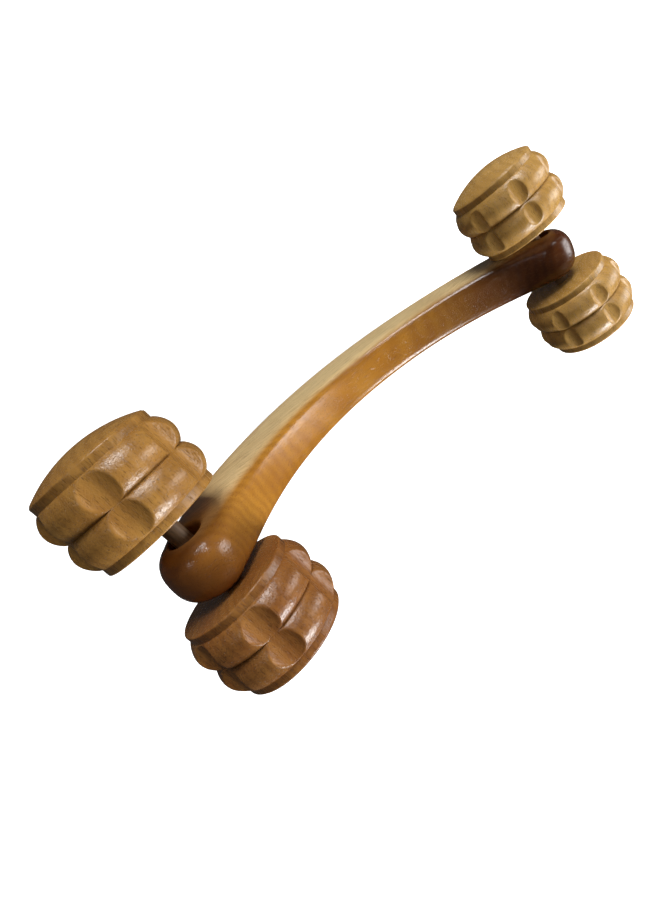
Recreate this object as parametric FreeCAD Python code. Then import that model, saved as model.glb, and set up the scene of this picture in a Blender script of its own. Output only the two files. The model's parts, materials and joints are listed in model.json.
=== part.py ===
"""Wooden roller massager: a bow-shaped handle with a pair of carved rollers at each end.

Frame: millimetres, +X along the handle towards the front pair, +Y along the axles to the left,
+Z up on the hollow side of the bow. The origin is under the middle of the whole tool, on the
surface that the back of the bow rests on.
"""
import FreeCAD, Part
import math
import os
from FreeCAD import Vector

# ---- driving dimensions ------------------------------------------------------------------------
axle_spacing = 250.0        # between the two axles, along X
bow_depth = 59.5            # from the line through the axles down to the middle of the grip

grip_height = 33.0          # handle, across the bow (Z in the middle)
grip_width = 22.6           # handle, along Y in the middle
end_width = 26.6            # handle, along Y at its two round ends
edge_radius = 4.5           # rounding of the handle's long edges

axle_diameter = 8.0         # beech dowel
axle_play = 3.4             # radial looseness of the dowel in the handle's cross hole
side_play = 10.8            # total end float of a pair of rollers across the handle
rear_shift = 3.2            # where the rear pair lies in that float, towards +Y
rear_lean = -11.5           # how the rear dowel lies in its loose hole: degrees about X,
rear_skew = 6.0             # then about Z
front_shift = 0.9
front_lean = -9.0
front_skew = 9.0

lip_diameter = 52.0         # plain rims at both sides of a roller
bead_diameter = 60.0        # over the two beads
waist_diameter = 53.6       # bottom of the groove between the beads
roller_width = 37.0         # rim edge to rim edge
lip_width = 3.8             # length of each plain rim
crown_height = 6.5          # how far the outer face bulges past its rim

socket_depth = 20.0         # blind hole for the dowel in a roller
glue_gap = 0.05             # radial gap that the glue fills
socket_end_gap = 1.0        # air left past the dowel's end

tool_shift = -1.9           # moves the whole tool along Y, which centres its box on the origin

rear_scoops = 6             # scoops cut across both beads, around a roller
rear_scoop_radius = 9.5
rear_scoop_depth = 3.5      # below the beads' crest
front_scoops = 7
front_scoop_radius = 5.5
front_scoop_depth = 2.6

# turn of each roller's first scoop about the axle, from +Z towards +X, in degrees
scoop_turn = {
    "rear_left_roller": -10.0,
    "rear_right_roller": -7.0,
    "front_left_roller": -29.5,
    "front_right_roller": -22.0,
}

# ---- derived places ----------------------------------------------------------------------------
axle_height = bow_depth + grip_height / 2.0
roller_gap = end_width + side_play
bow_radius = ((axle_spacing / 2.0) ** 2 + bow_depth ** 2) / (2.0 * bow_depth)
bow_centre_z = axle_height - bow_depth + bow_radius
bow_half_angle = math.asin(axle_spacing / 2.0 / bow_radius)
end_radius = grip_height / 2.0
handle_half_length = axle_spacing / 2.0 + end_radius
bore_radius = axle_diameter / 2.0 + axle_play
axle_length = roller_gap + 2.0 * (socket_depth - socket_end_gap)


def on_bow(radius, angle):
    """Point of the bow's plane at this radius and angle, the angle from straight down to +X."""
    return Vector(radius * math.sin(angle), 0.0, bow_centre_z - radius * math.cos(angle))


def arc(start, middle, end):
    return Part.Arc(start, middle, end).toShape()


def make_side_slab():
    """The bow seen from the side: two concentric arcs joined by round ends, as wide as the ends."""
    back = bow_radius + end_radius
    hollow = bow_radius - end_radius
    angle = bow_half_angle
    front_tip = on_bow(bow_radius, angle) + Vector(math.cos(angle), 0.0, math.sin(angle)) * end_radius
    rear_tip = Vector(-front_tip.x, 0.0, front_tip.z)
    outline = Part.Wire([
        arc(on_bow(back, -angle), on_bow(back, 0.0), on_bow(back, angle)),
        arc(on_bow(back, angle), front_tip, on_bow(hollow, angle)),
        arc(on_bow(hollow, angle), on_bow(hollow, 0.0), on_bow(hollow, -angle)),
        arc(on_bow(hollow, -angle), rear_tip, on_bow(back, -angle)),
    ])
    slab = Part.Face(outline).extrude(Vector(0.0, end_width, 0.0))
    slab.translate(Vector(0.0, -end_width / 2.0, 0.0))
    return slab


def make_waist_block():
    """The handle seen from above: both sides curve in from the round ends to the grip."""
    reach = handle_half_length + 1.0
    side = end_width / 2.0
    waist = grip_width / 2.0
    outline = Part.Wire([
        arc(Vector(-reach, side, 0.0), Vector(0.0, waist, 0.0), Vector(reach, side, 0.0)),
        Part.LineSegment(Vector(reach, side, 0.0), Vector(reach, -side, 0.0)).toShape(),
        arc(Vector(reach, -side, 0.0), Vector(0.0, -waist, 0.0), Vector(-reach, -side, 0.0)),
        Part.LineSegment(Vector(-reach, -side, 0.0), Vector(-reach, side, 0.0)).toShape(),
    ])
    height = axle_height + 2.0 * end_radius
    block = Part.Face(outline).extrude(Vector(0.0, 0.0, height + 2.0))
    block.translate(Vector(0.0, 0.0, -1.0))
    return block


def make_handle():
    """One piece of wood, sawn to the bow, rounded, and drilled across both ends."""
    blank = make_side_slab().common(make_waist_block()).Solids[0]
    rounding = min(edge_radius, 0.45 * grip_width, 0.45 * grip_height)
    long_edges = [edge for edge in blank.Edges if abs(edge.BoundBox.YLength) < end_width / 2.0]
    handle = blank.makeFillet(rounding, long_edges)
    for side in (-1.0, 1.0):
        start = Vector(side * axle_spacing / 2.0, -end_width, axle_height)
        handle = handle.cut(Part.makeCylinder(bore_radius, 2.0 * end_width, start, Vector(0, 1, 0)))
    return handle.Solids[0]


def roller_outline():
    """Half section of a roller: x is the radius, y runs outwards from the inner face."""
    lip = lip_diameter / 2.0
    bead = bead_diameter / 2.0
    waist = waist_diameter / 2.0
    middle = roller_width / 2.0
    crest = (lip_width + middle) / 2.0
    points = {
        "centre": Vector(0.0, 0.0, 0.0),
        "inner_rim": Vector(lip, 0.0, 0.0),
        "inner_lip": Vector(lip, lip_width, 0.0),
        "waist": Vector(waist, middle, 0.0),
        "outer_lip": Vector(lip, roller_width - lip_width, 0.0),
        "outer_rim": Vector(lip, roller_width, 0.0),
        "crown": Vector(0.0, roller_width + crown_height, 0.0),
    }
    crown_radius = (lip ** 2 + crown_height ** 2) / (2.0 * crown_height)
    half_angle = math.asin(lip / crown_radius) / 2.0
    crown_drop = crown_radius * (1.0 - math.cos(half_angle))
    crown_mid = Vector(crown_radius * math.sin(half_angle), roller_width + crown_height - crown_drop, 0.0)

    def line(first, second):
        return Part.LineSegment(points[first], points[second]).toShape()

    return Part.Wire([
        line("centre", "inner_rim"),
        line("inner_rim", "inner_lip"),
        arc(points["inner_lip"], Vector(bead, crest, 0.0), points["waist"]),
        arc(points["waist"], Vector(bead, roller_width - crest, 0.0), points["outer_lip"]),
        line("outer_lip", "outer_rim"),
        arc(points["outer_rim"], crown_mid, points["crown"]),
        line("crown", "centre"),
    ])


def make_roller(scoops, scoop_radius, scoop_depth, first_turn):
    """A turned blank on the Y axis, scooped across both beads, with a blind hole for the dowel."""
    roller = Part.Face(roller_outline()).revolve(Vector(0, 0, 0), Vector(0, 1, 0), 360.0)
    reach = bead_diameter / 2.0 - scoop_depth + scoop_radius
    scoop_length = roller_width - lip_width
    for number in range(scoops):
        turn = math.radians(first_turn + number * 360.0 / scoops)
        foot = Vector(reach * math.sin(turn), lip_width / 2.0, reach * math.cos(turn))
        roller = roller.cut(Part.makeCylinder(scoop_radius, scoop_length, foot, Vector(0, 1, 0)))
    socket_radius = axle_diameter / 2.0 + glue_gap
    roller = roller.cut(Part.makeCylinder(socket_radius, socket_depth, Vector(0, 0, 0), Vector(0, 1, 0)))
    return roller.Solids[0]


def lay_in_hole(shape, axle_x, pair_shift, lean, skew):
    """Move a piece from a pair's own axes to the handle, leaning in its hole as the pair lies there."""
    shape.translate(Vector(0.0, pair_shift, 0.0))
    shape.rotate(Vector(0, 0, 0), Vector(1, 0, 0), lean)
    shape.rotate(Vector(0, 0, 0), Vector(0, 0, 1), skew)
    shape.translate(Vector(axle_x, 0.0, axle_height))
    return shape


def set_on_dowel(roller, side):
    """Push a roller onto the dowel: side is +1 on the left and -1 on the right, turned round there."""
    if side < 0:
        roller.rotate(Vector(0, 0, 0), Vector(0, 0, 1), 180.0)
    roller.translate(Vector(0.0, side * roller_gap / 2.0, 0.0))
    return roller


def make_axle():
    start = Vector(0.0, -axle_length / 2.0, 0.0)
    return Part.makeCylinder(axle_diameter / 2.0, axle_length, start, Vector(0, 1, 0))


def build():
    lies = {
        "rear": (-axle_spacing / 2.0, rear_shift, rear_lean, rear_skew),
        "front": (axle_spacing / 2.0, front_shift, front_lean, front_skew),
    }
    scoops = {
        "rear": (rear_scoops, rear_scoop_radius, rear_scoop_depth),
        "front": (front_scoops, front_scoop_radius, front_scoop_depth),
    }
    nodes = {"handle": make_handle()}
    for pair in ("rear", "front"):
        nodes[pair + "_axle"] = lay_in_hole(make_axle(), *lies[pair])
        for side_name, side in (("left", 1.0), ("right", -1.0)):
            name = pair + "_" + side_name + "_roller"
            roller = make_roller(*scoops[pair], side * scoop_turn[name])
            nodes[name] = lay_in_hole(set_on_dowel(roller, side), *lies[pair])
    for shape in nodes.values():
        shape.translate(Vector(0.0, tool_shift, 0.0))
    return nodes


os.makedirs("parts", exist_ok=True)
for node, shape in build().items():
    box = shape.BoundBox
    print(node, shape.ShapeType, "valid" if shape.isValid() else "NOT VALID", round(shape.Volume, 1),
          [round(v, 2) for v in (box.XMin, box.YMin, box.ZMin, box.XMax, box.YMax, box.ZMax)])
    shape.exportStep("parts/" + node + ".step")
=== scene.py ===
import json
import math

import bpy
import numpy as np
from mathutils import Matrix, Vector


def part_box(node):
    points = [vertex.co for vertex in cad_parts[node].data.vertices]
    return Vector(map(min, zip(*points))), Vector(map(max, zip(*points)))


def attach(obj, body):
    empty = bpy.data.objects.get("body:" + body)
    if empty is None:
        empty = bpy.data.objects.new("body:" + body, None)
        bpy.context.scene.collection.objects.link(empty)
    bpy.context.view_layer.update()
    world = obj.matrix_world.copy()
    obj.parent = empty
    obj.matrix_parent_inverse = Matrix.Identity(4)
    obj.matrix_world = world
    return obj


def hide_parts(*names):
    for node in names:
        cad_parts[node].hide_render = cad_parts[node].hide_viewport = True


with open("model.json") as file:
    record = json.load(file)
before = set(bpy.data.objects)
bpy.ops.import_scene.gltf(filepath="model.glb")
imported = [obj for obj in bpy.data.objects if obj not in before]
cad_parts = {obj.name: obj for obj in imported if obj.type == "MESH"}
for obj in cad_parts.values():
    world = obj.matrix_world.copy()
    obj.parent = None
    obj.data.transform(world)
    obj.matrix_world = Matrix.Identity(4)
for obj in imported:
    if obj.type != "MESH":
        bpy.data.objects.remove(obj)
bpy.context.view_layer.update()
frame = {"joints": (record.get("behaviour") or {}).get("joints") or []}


# ---- Handle ------------------------------------------------------------------------------------
# One stick of pale wood, sawn to a bow, with round ends and a narrower grip. Its edges are rounded by
# hand, both ends are drilled across for the dowels, and a stain is sprayed on the hollow and the back.
axle_x = max(joint["pos_m"][0] for joint in frame["joints"])
handle_y, axle_z = frame["joints"][0]["pos_m"][1:]
end_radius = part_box("handle")[1].x - axle_x
bow_depth = axle_z - end_radius
bow_radius = (axle_x ** 2 + bow_depth ** 2) / (2 * bow_depth)
bow_centre_z = end_radius + bow_radius
bow_reach = bow_radius * math.asin(axle_x / bow_radius)
grip_half_width = 0.0114
end_half_width = 0.0143
grip_squareness = 5.4
end_squareness = 2.5
bore_radius = 0.0074
mouth_flare = 0.0008
sharp_angle = math.radians(40)


def mesh_object(name, points, faces):
    """A mesh from arrays of points and of faces, smooth except where faces meet more sharply."""
    mesh = bpy.data.meshes.new(name)
    mesh.from_pydata(points.tolist(), [], [list(face) for face in faces])
    mesh.update()
    mesh.shade_smooth()
    mesh.set_sharp_from_angle(angle=sharp_angle)
    piece = bpy.data.objects.new(name, mesh)
    bpy.context.scene.collection.objects.link(piece)
    return piece


def tube_grid(rings):
    """Closed surface through rings of points, shape (rows, columns, 3): each ring joins the next, and the
    first and last rings shrink to a point. Returns its points and faces, which point outwards when the
    columns turn clockwise seen from the last ring."""
    rows, columns, _ = rings.shape
    inner = rings[1:-1].reshape(-1, 3)
    points = np.vstack([inner, rings[0, :1], rings[-1, :1]])
    row, column = np.meshgrid(np.arange(rows - 3), np.arange(columns), indexing="ij")
    after = (column + 1) % columns
    here = row * columns
    quads = np.stack([here + column, here + after, here + columns + after, here + columns + column], -1)
    ring = np.arange(columns)
    turned = (ring + 1) % columns
    last = (rows - 3) * columns
    start_cap = np.stack([turned, ring, np.full(columns, len(inner))], -1)
    end_cap = np.stack([last + ring, last + turned, np.full(columns, len(inner) + 1)], -1)
    return points, quads.reshape(-1, 4).tolist() + start_cap.tolist() + end_cap.tolist()


def handle_rings(stations=220, around=128):
    """Sections of the bow: the centre line is an arc that runs on straight past each axle. Half height is
    constant, then falls as a circle round the axle. Half width grows with the cube of the distance from
    the middle. Each section is a superellipse, squarer in the grip than at the ends."""
    ease = np.sin(np.linspace(0, 1, 40) * np.pi / 2)
    along = np.concatenate([
        -bow_reach - end_radius * ease[::-1],
        np.linspace(-bow_reach, bow_reach, stations)[1:-1],
        bow_reach + end_radius * ease,
    ])
    side = np.sign(along)
    past = np.clip(np.abs(along) - bow_reach, 0, end_radius) / end_radius
    angle = np.clip(along, -bow_reach, bow_reach) / bow_radius
    centre_x = bow_radius * np.sin(angle) + side * past * end_radius * np.cos(angle)
    centre_z = bow_centre_z - bow_radius * np.cos(angle) + side * past * end_radius * np.sin(angle)
    half_height = end_radius * np.sqrt(np.clip(1 - past ** 2, 0, 1))
    spread = np.clip(np.abs(along) / bow_reach, 0, 1) ** 3
    half_width = grip_half_width + (end_half_width - grip_half_width) * spread
    half_width = half_width * np.clip(1 - past ** end_squareness, 0, 1) ** (1 / end_squareness)
    squareness = grip_squareness + (end_squareness - grip_squareness) * spread ** 1.5
    turn = np.linspace(0, 2 * np.pi, around, endpoint=False)
    power = (2 / squareness)[:, None]
    across = np.sign(np.cos(turn)) * np.abs(np.cos(turn)) ** power * half_width[:, None]
    rise = np.sign(np.sin(turn)) * np.abs(np.sin(turn)) ** power * half_height[:, None]
    x = centre_x[:, None] - np.sin(angle)[:, None] * rise
    z = centre_z[:, None] + np.cos(angle)[:, None] * rise
    return np.stack([x, across + handle_y, z], -1)


def bore_cutter(x):
    """A rod along Y with flared ends, which leaves a hole with slightly rounded mouths."""
    rod_end = 0.02
    mouth = end_half_width + 0.0001 - mouth_flare * np.array([0, 1, 2])
    half_reach = np.concatenate([[rod_end, rod_end], mouth])
    half_radius = bore_radius + mouth_flare * np.array([0, 3, 3, 0.8, 0])
    half_radius[0] = 0
    reach = np.concatenate([-half_reach, half_reach[::-1]])
    radius = np.concatenate([half_radius, half_radius[::-1]])
    turn = np.linspace(0, 2 * np.pi, 72, endpoint=False)
    rings = np.stack([
        x + radius[:, None] * np.sin(turn),
        np.repeat(reach[:, None], len(turn), 1) + handle_y,
        axle_z + radius[:, None] * np.cos(turn),
    ], -1)
    return mesh_object("bore_cutter", *tube_grid(rings))


def cut_away(piece, cutter):
    """Subtract the cutter from the piece, and take the cutter away."""
    modifier = piece.modifiers.new("cut", "BOOLEAN")
    modifier.operation = "DIFFERENCE"
    modifier.solver = "EXACT"
    modifier.object = cutter
    bpy.context.view_layer.update()
    shaped = bpy.data.meshes.new_from_object(piece.evaluated_get(bpy.context.evaluated_depsgraph_get()))
    piece.modifiers.clear()
    piece.data = shaped
    piece.data.shade_smooth()
    piece.data.set_sharp_from_angle(angle=sharp_angle)
    piece.data.materials.clear()
    bpy.data.objects.remove(cutter)


class Value:
    """The output of a shader node. Arithmetic on it adds Math nodes to its material."""

    def __init__(self, shader, socket):
        self.shader = shader
        self.socket = socket

    def math(self, operation, *others):
        """Any operation of the Math node, with this value first."""
        inputs = dict(enumerate([self, *others]))
        return self.shader.add("Math", {"operation": operation}, inputs)

    def __add__(self, other):
        return self.math("ADD", other)

    def __radd__(self, other):
        return self.math("ADD", other)

    def __sub__(self, other):
        return self.math("SUBTRACT", other)

    def __rsub__(self, other):
        return self.shader.add("Math", {"operation": "SUBTRACT"}, {0: other, 1: self})

    def __mul__(self, other):
        return self.math("MULTIPLY", other)

    def __rmul__(self, other):
        return self.math("MULTIPLY", other)

    def __truediv__(self, other):
        return self.math("DIVIDE", other)

    def __rtruediv__(self, other):
        return self.shader.add("Math", {"operation": "DIVIDE"}, {0: other, 1: self})

    def between(self, low, high):
        """0 below low, 1 above high, and a smooth step between them."""
        settings = {"interpolation_type": "SMOOTHSTEP"}
        return self.shader.add("MapRange", settings, {"Value": self, "From Min": low, "From Max": high})


class Shader:
    """One material with a Principled surface."""

    def __init__(self, name):
        self.material = bpy.data.materials.new(name)
        self.material.use_nodes = True
        self.tree = self.material.node_tree
        self.surface = self.tree.nodes["Principled BSDF"]

    def add(self, kind, settings, inputs, output=0):
        """Any node, with its type, settings and inputs. Returns one of its outputs as a Value."""
        node = self.tree.nodes.new("ShaderNode" + kind)
        for name, setting in settings.items():
            setattr(node, name, setting)
        for name, value in inputs.items():
            self.feed(node.inputs[name], value)
        return Value(self, node.outputs[output])

    def feed(self, socket, value):
        """Link a Value to a socket, or set a constant on it."""
        if isinstance(value, Value):
            self.tree.links.new(value.socket, socket)
        else:
            socket.default_value = value

    def mix(self, factor, first, second):
        """Blend two colours, each a Value or a tuple of red, green and blue."""
        colours = [c if isinstance(c, Value) else (*c, 1.0) for c in (first, second)]
        return self.add("Mix", {"data_type": "RGBA"}, {0: factor, 6: colours[0], 7: colours[1]}, 2)

    def place(self, attribute=None):
        """Where a point is: on the piece itself, or as an attribute of its mesh says."""
        if attribute:
            return self.add("Attribute", {"attribute_name": attribute}, {}, "Vector")
        return self.add("TexCoord", {}, {}, "Object")

    def moved(self, place, shift, scale):
        """A place, shrunk and then shifted."""
        return self.add("Mapping", {}, {"Vector": place, "Location": shift, "Scale": scale})

    def noise(self, place, scale, detail, roughness=0.55):
        """Soft random mottling from 0 to 1, with this many lumps to a metre."""
        inputs = {"Vector": place, "Scale": scale, "Detail": detail, "Roughness": roughness}
        return self.add("TexNoise", {}, inputs, "Fac")

    def split(self, place):
        """The three parts of a place."""
        parts = self.add("SeparateXYZ", {}, {0: place})
        outputs = parts.socket.node.outputs
        return [Value(self, outputs[axis]) for axis in range(3)]

    def finish(self, colour, roughness, bump, bump_depth):
        """Colour, roughness and bump, which all vary over the surface."""
        self.feed(self.surface.inputs["Base Color"], colour)
        self.feed(self.surface.inputs["Roughness"], roughness)
        normal = self.add("Bump", {}, {"Height": bump, "Distance": bump_depth, "Strength": 1.0})
        self.feed(self.surface.inputs["Normal"], normal)
        return self.material


def wood_grain(shader, place, stretch, ring_gap, pith, seed):
    """Growth rings, fibres and pores of a stick whose grain runs along one axis. stretch is how much
    each axis is shrunk, small along the grain. Returns three Values from 0 to 1."""
    shifted = shader.moved(place, shift=(seed * 1.7, seed * 0.9, seed * 2.3), scale=stretch)
    sway = shader.noise(shifted, 28.0, 2.0)
    from_pith = shader.moved(place, shift=[-c for c in pith], scale=[0 if s < 0.5 else 1 for s in stretch])
    distance = shader.add("VectorMath", {"operation": "LENGTH"}, {0: from_pith}, "Value")
    rings = ((distance / ring_gap + sway * 2.6) * (2 * math.pi)).math("SINE") * 0.5 + 0.5
    fibres = shader.noise(shifted, 900.0, 4.0, 0.6)
    pores = shader.noise(shifted, 2600.0, 1.0, 0.5).between(0.60, 0.70)
    return rings, fibres, pores


def stained_wood():
    """Pale wood, stained amber on the hollow and the back, under a gloss lacquer. Towards the front end it
    goes dark brown and at the rear end umber, partly from darker staining and partly painted shade. The sides
    stay pale until near both ends, where they darken too, partly from staining and partly painted shade cast
    by the rollers."""
    shader = Shader("stained_wood")
    place = shader.place()
    x, y = shader.split(place)[:2]
    rings, fibres, pores = wood_grain(shader, place, (0.06, 1.0, 1.0), 0.0034, (0.0, 0.004, -0.05), 1.0)
    cloud = shader.noise(place, 22.0, 3.0)
    mottle = shader.noise(place, 160.0, 3.0)

    edge_of_stain = x * x * ((end_half_width - grip_half_width) / axle_x ** 2) + grip_half_width
    across = (y - handle_y).math("ABSOLUTE")
    side = (across / edge_of_stain + (cloud - 0.5) * 0.16).between(0.80, 0.99)
    # Darker towards the front end and at the rear end: partly darker staining, partly painted shade.
    to_front = (x + (cloud - 0.5) * 0.03).between(0.015, 0.105)
    to_rear = (x * -1.0 + (cloud - 0.5) * 0.02).between(0.085, 0.140)

    pale = shader.mix(fibres * 0.5 + rings * 0.3, (0.86, 0.65, 0.34), (0.74, 0.52, 0.23))
    amber = shader.mix(cloud.between(0.3, 0.7), (0.48, 0.215, 0.028), (0.36, 0.140, 0.015))
    brown = shader.mix(mottle, (0.115, 0.032, 0.006), (0.080, 0.020, 0.004))
    umber = shader.mix(mottle, (0.270, 0.095, 0.018), (0.190, 0.062, 0.012))
    # Amber in the middle, brown and umber at the ends, which hold painted shade as well as staining.
    stain_and_shade = shader.mix(to_rear, shader.mix(to_front, amber, brown), umber)
    stain_and_shade = shader.mix(rings * 0.22, stain_and_shade, (0.16, 0.05, 0.01))
    # Near both ends the sides darken towards that colour: partly staining, partly painted shade cast by the
    # rollers.
    ends = (x.math("ABSOLUTE") + (cloud - 0.5) * 0.02).between(0.088, 0.125)
    side = side * (1.0 - ends * 0.75)
    colour = shader.mix(side, stain_and_shade, pale)
    colour = shader.mix(pores * 0.35, colour, (0.10, 0.04, 0.01))
    colour = shader.mix(fibres.between(0.45, 0.75) * 0.25, colour, (0.20, 0.08, 0.02))
    roughness = 0.14 + fibres * 0.12
    grit = shader.noise(place, 1300.0, 2.0)
    bump = fibres * 0.3 + mottle * 0.8 + grit * 0.5 - pores * 0.4
    return shader.finish(colour, roughness, bump, 0.00012)


handle = mesh_object("bow_handle", *tube_grid(handle_rings()))
for side in (-1, 1):
    cut_away(handle, bore_cutter(side * axle_x))
handle.data.materials.append(stained_wood())
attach(handle, "handle")
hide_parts("handle")


# ---- Dowels ------------------------------------------------------------------------------------
# Two plain rods of straight-grained wood, one through each end of the handle. They lie loose in their
# holes and are glued into the blind holes of the rollers.
dowel_radius = 0.0040
dowel_bevel = 0.0005
dowel_relief = 0.00008
joints = {joint["child"]: joint for joint in frame["joints"]}


def lie_of(body):
    """The centre of a pair of rollers, and the turn that takes Y to its axle: first about X, then Z."""
    ax, ay, az = joints[body]["axis"]
    low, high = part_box(body.replace("wheelset", "axle"))
    lean = math.asin(az)
    skew = math.atan2(-ax, ay)
    about_x = np.array([[1, 0, 0], [0, math.cos(lean), -math.sin(lean)], [0, math.sin(lean), math.cos(lean)]])
    about_z = np.array([[math.cos(skew), -math.sin(skew), 0], [math.sin(skew), math.cos(skew), 0], [0, 0, 1]])
    return np.array((low + high) / 2), about_z @ about_x


def lathe_rings(radius, reach, around):
    """Rings round the Y axis: radius may be one number per ring or one per point of each ring."""
    turn = np.linspace(0, 2 * np.pi, around, endpoint=False)
    radius = np.broadcast_to(np.asarray(radius, float).reshape(len(reach), -1), (len(reach), around))
    return np.stack([
        radius * np.sin(turn),
        np.repeat(np.asarray(reach, float)[:, None], around, 1),
        radius * np.cos(turn),
    ], -1)


def turned_piece(name, rings, body, material, node):
    """Make a turned piece from rings in its pair's own axes, keep those axes as an attribute for the
    grain, and lay it where the pair lies."""
    points, faces = tube_grid(rings)
    centre, turn = lie_of(body)
    piece = mesh_object(name, points @ turn.T + centre, faces)
    own = piece.data.attributes.new("own_place", "FLOAT_VECTOR", "POINT")
    own.data.foreach_set("vector", points.astype(np.float32).ravel())
    piece.data.materials.append(material)
    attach(piece, body)
    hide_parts(node)


def dowel_wood():
    """Bare brown rod with straight fibres and a dull surface."""
    shader = Shader("dowel_wood")
    place = shader.place("own_place")
    rings, fibres, pores = wood_grain(shader, place, (1.0, 0.05, 1.0), 0.0016, (0.01, 0.0, 0.0), 4.0)
    colour = shader.mix(fibres, (0.30, 0.19, 0.10), (0.17, 0.10, 0.05))
    colour = shader.mix(rings * 0.3 + pores * 0.3, colour, (0.10, 0.055, 0.025))
    return shader.finish(colour, 0.5 + fibres * 0.15, fibres - pores, 0.00010)


dowel_material = dowel_wood()
for pair in ("rear", "front"):
    low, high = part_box(pair + "_axle")
    turn = lie_of(pair + "_wheelset")[1]
    half_length = (high.y - low.y) / 2 - dowel_radius * abs(turn[2, 1])
    half_length = half_length / turn[1, 1] - dowel_relief
    shank = np.linspace(dowel_bevel - half_length, half_length - dowel_bevel, 40)
    reach = np.concatenate([[-half_length] * 2, shank, [half_length] * 2])
    radius = dowel_radius * np.concatenate([[0, 0.88], np.ones(len(shank)), [0.88, 0]])
    turned_piece(pair + "_dowel", lathe_rings(radius, reach, 48), pair + "_wheelset", dowel_material,
                 pair + "_axle")


# ---- Rollers -----------------------------------------------------------------------------------
# Four turned blocks, one on each dowel end. Each has a plain rim at both sides, two round beads with a
# groove between them, a domed outer face, and hollows scooped across both beads with a round cutter.
roller_gap = 0.0374
rim_radius = 0.0260
bead_radius = 0.0300
waist_radius = 0.0268
roller_width = 0.0370
rim_width = 0.0038
rim_rounding = 0.0007
crown_height = 0.0065
socket_radius = 0.00405
socket_depth = 0.0200
socket_bevel = 0.0005


def soft_min(first, second, blend):
    """The smaller of two arrays, rounded over where they cross."""
    share = np.clip(0.5 + 0.5 * (second - first) / blend, 0, 1)
    return second + (first - second) * share - blend * share * (1 - share)


def bead_radii(share):
    """Radius of a bead at each share of the way from the rim to the waist: a swell, a half sine to the
    power 0.72, over the line that joins them."""
    base = rim_radius + (waist_radius - rim_radius) * share
    return base + (bead_radius - (rim_radius + waist_radius) / 2) * np.sin(np.pi * share) ** 0.72


def roller_profile():
    """Reach from the inner face and radius, from the bottom of the blind hole, out over the inner face,
    the rim, the two beads and the outer rim, to the middle of the domed outer face."""
    socket = [(socket_depth, 0), (socket_depth, socket_radius), (socket_bevel, socket_radius),
              (0, socket_radius + socket_bevel)]
    face_edge = rim_radius - rim_rounding * 1.2
    face = [(0, r) for r in np.linspace(socket_radius + 4 * socket_bevel, face_edge, 10)]
    corner = np.linspace(0, np.pi / 2, 6)
    rim = [(rim_rounding * (1 - math.cos(a)), rim_radius - rim_rounding * (1 - math.sin(a))) for a in corner]
    rim += [(w, rim_radius) for w in np.linspace(rim_rounding, rim_width, 6)[1:]]
    share = np.linspace(0, 1, 44)[1:]
    bead = zip(rim_width + (roller_width / 2 - rim_width) * share, bead_radii(share))
    half = rim + list(bead)
    mirrored = [(roller_width - w, r) for w, r in half[::-1][1:]]
    crown_radius = (rim_radius ** 2 + crown_height ** 2) / (2 * crown_height)
    dome_radii = np.linspace(face_edge, 0, 40)
    rise = np.sqrt(crown_radius ** 2 - dome_radii ** 2) - crown_radius + crown_height
    dome = list(zip(roller_width + rise, dome_radii))
    outline = np.array(socket + face + half + mirrored[:-1] + dome)
    return outline[:, 0], outline[:, 1]


def roller_rings(scoops, scoop_radius, scoop_depth, first_turn, rng, around=384):
    """The turned profile with scoops: across the beads the radius is cut down to a round cutter's
    surface. That is the cutter's distance times the cosine of the angle from the scoop's middle, less
    the root of its radius squared less the square of that distance times the sine of that angle. Each
    scoop is a little off in place and depth."""
    reach, radius = roller_profile()
    turn = np.linspace(0, 2 * np.pi, around, endpoint=False)
    grid = np.repeat(radius[:, None], around, 1)
    middle = roller_width / 2
    beads = (reach > rim_width) & (reach < roller_width - rim_width) & (radius >= rim_radius)
    for number in range(scoops):
        at = math.radians(first_turn) + number * 2 * np.pi / scoops + rng.normal(0, 0.02)
        for low, high in ((0, middle), (middle, roller_width)):
            deep = scoop_depth + rng.normal(0, 0.00018)
            distance = bead_radius - deep + scoop_radius
            off = (turn - at + np.pi) % (2 * np.pi) - np.pi
            inside = np.abs(distance * np.sin(off)) < scoop_radius
            inside &= np.abs(off) < np.pi / 2
            root = np.sqrt(np.clip(scoop_radius ** 2 - (distance * np.sin(off)) ** 2, 0, None))
            cut = np.where(inside, distance * np.cos(off) - root, 1.0)
            rows = beads & (reach >= low) & (reach <= high)
            grid[rows] = soft_min(grid[rows], np.broadcast_to(cut, grid[rows].shape), 0.00035)
    return reach, grid


def roller_wood(name, light, dark, ring_colour, ring_gap, seed, speckle):
    """Lacquered wood turned along its grain: rings on the end faces, fibres along the axle on the
    beads, and fine pores."""
    shader = Shader(name)
    place = shader.place("own_place")
    rings, fibres, pores = wood_grain(shader, place, (1.0, 0.12, 1.0), ring_gap, (0.022, 0.0, 0.03), seed)
    cloud = shader.noise(place, 45.0, 3.0)
    fleck = shader.noise(place, 1500.0, 2.0).between(0.52, 0.68)
    colour = shader.mix(cloud.between(0.3, 0.7), light, dark)
    colour = shader.mix(rings.between(0.35, 1.0) * 0.28, colour, ring_colour)
    colour = shader.mix(fibres.between(0.4, 0.75) * 0.30, colour, ring_colour)
    colour = shader.mix(pores * 0.5 + fleck * speckle, colour, [c * 0.55 for c in ring_colour])
    roughness = 0.18 + fibres * 0.16
    grit = shader.noise(place, 1100.0, 2.0)
    bump = fibres * 0.4 + cloud * 2.0 + grit * 0.7 - pores * 0.5 - fleck * 0.2
    return shader.finish(colour, roughness, bump, 0.00015)


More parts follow.
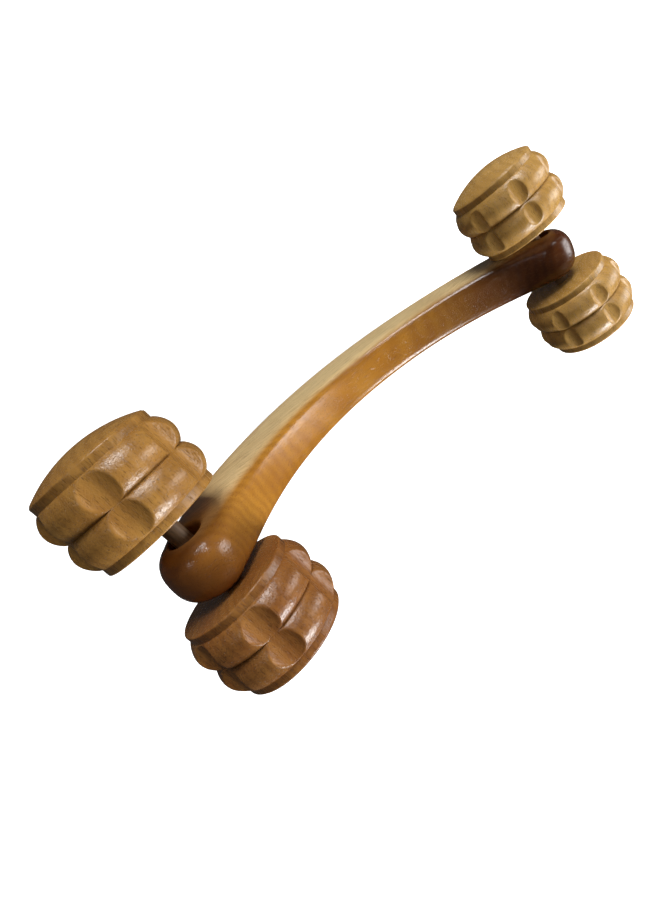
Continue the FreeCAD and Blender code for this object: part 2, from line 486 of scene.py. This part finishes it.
golden = roller_wood(
    "golden_roller_wood", light=(0.44, 0.225, 0.052), dark=(0.34, 0.160, 0.034),
    ring_colour=(0.20, 0.085, 0.016), ring_gap=0.0052, seed=2.0, speckle=0.12)
walnut = roller_wood(
    "walnut_roller_wood", light=(0.35, 0.155, 0.038), dark=(0.25, 0.093, 0.020),
    ring_colour=(0.14, 0.044, 0.009), ring_gap=0.0040, seed=5.0, speckle=0.10)
olive = roller_wood(
    "olive_roller_wood", light=(0.64, 0.375, 0.110), dark=(0.52, 0.290, 0.075),
    ring_colour=(0.33, 0.165, 0.037), ring_gap=0.0056, seed=8.0, speckle=0.20)
rollers = {
    # name: wood, slot, scoops, cutter radius, scoop depth, turn of the first scoop in degrees
    "rear_left_roller": (golden, "golden_roller_wood", 6, 0.0095, 0.0035, -10.0),
    "rear_right_roller": (walnut, "walnut_roller_wood", 6, 0.0095, 0.0035, -7.0),
    "front_left_roller": (olive, "olive_roller_wood", 7, 0.0055, 0.0026, -29.5),
    "front_right_roller": (olive, "olive_roller_wood", 7, 0.0055, 0.0026, -22.0),
}
for number, (name, (wood, slot, scoops, cutter, depth, first_turn)) in enumerate(rollers.items()):
    rng = np.random.default_rng(40 + number)
    reach, grid = roller_rings(scoops, cutter, depth, first_turn, rng)
    outward = 1 if "left" in name else -1
    rings = lathe_rings(grid, outward * (reach + roller_gap / 2), grid.shape[1])
    if outward < 0:
        rings = rings[:, ::-1]
    body = name.split("_")[0] + "_wheelset"
    turned_piece(name + "_turned", rings, body, wood, name)


# ---- Floor -------------------------------------------------------------------------------------
# A plain pale sheet that the back of the bow rests on, lit evenly so that it shows no shadow.
floor_reach = 6.0
corners = np.array([[-1, -1, 0], [1, -1, 0], [1, 1, 0], [-1, 1, 0]], float) * floor_reach
floor = mesh_object("floor", corners, [[0, 1, 2, 3]])
floor_shader = Shader("pale_floor")
floor_shader.feed(floor_shader.surface.inputs["Base Color"], (0.92, 0.92, 0.92, 1.0))
floor_shader.feed(floor_shader.surface.inputs["Roughness"], 0.9)
floor_shader.feed(floor_shader.surface.inputs["Emission Color"], (1.0, 1.0, 1.0, 1.0))
floor_shader.feed(floor_shader.surface.inputs["Emission Strength"], 0.85)
floor.data.materials.append(floor_shader.material)
floor.visible_diffuse = False
floor.visible_glossy = False


# ---- Lights ------------------------------------------------------------------------------------
# Broad soft windows at the right, the left and past the front end, a lamp closer to the front end, two
# small lamps for the bright spots in the lacquer, and a dim room.
def window(name, place, size, power):
    """A square lamp that faces the middle of the tool. Its size is in metres and its power in watts."""
    light = bpy.data.lights.new(name, "AREA")
    light.size = size
    light.energy = power
    lamp = bpy.data.objects.new(name, light)
    bpy.context.scene.collection.objects.link(lamp)
    lamp.location = place
    to_tool = Vector((0.0, 0.0, 0.06)) - Vector(place)
    lamp.rotation_euler = to_tool.to_track_quat("-Z", "Y").to_euler()


window("right_window", (0.40, -1.70, 1.10), 0.8, 48.0)
window("left_window", (0.20, 1.70, 0.60), 0.8, 27.0)
window("front_window", (1.50, -0.10, 1.15), 0.9, 9.0)
window("front_lamp", (0.65, -0.05, 0.45), 0.4, 1.6)
window("ceiling_lamp", (0.60, 1.60, 1.80), 0.24, 5.0)
window("side_lamp", (-1.30, 0.90, 1.15), 0.20, 2.0)
world = bpy.data.worlds.new("room")
world.use_nodes = True
world.node_tree.nodes["Background"].inputs["Color"].default_value = (1.0, 1.0, 1.0, 1.0)
world.node_tree.nodes["Background"].inputs["Strength"].default_value = 0.05
bpy.context.scene.world = world


# ---- Camera ------------------------------------------------------------------------------------
# Held close over the rear left roller, looking down and forwards into the hollow of the bow.
camera_data = bpy.data.cameras.new("camera")
camera_data.sensor_width = 36.0
camera_data.lens = 21.824
camera_data.shift_x = -0.0751
camera_data.shift_y = -0.0340
camera_data.clip_start = 0.01
camera = bpy.data.objects.new("camera", camera_data)
camera.location = (-0.13143, 0.09335, 0.29733)
camera.rotation_euler = [math.radians(turn) for turn in (-4.607, -35.180, -35.330)]
bpy.context.scene.collection.objects.link(camera)
bpy.context.scene.camera = camera
bpy.context.scene.view_settings.view_transform = "Standard"
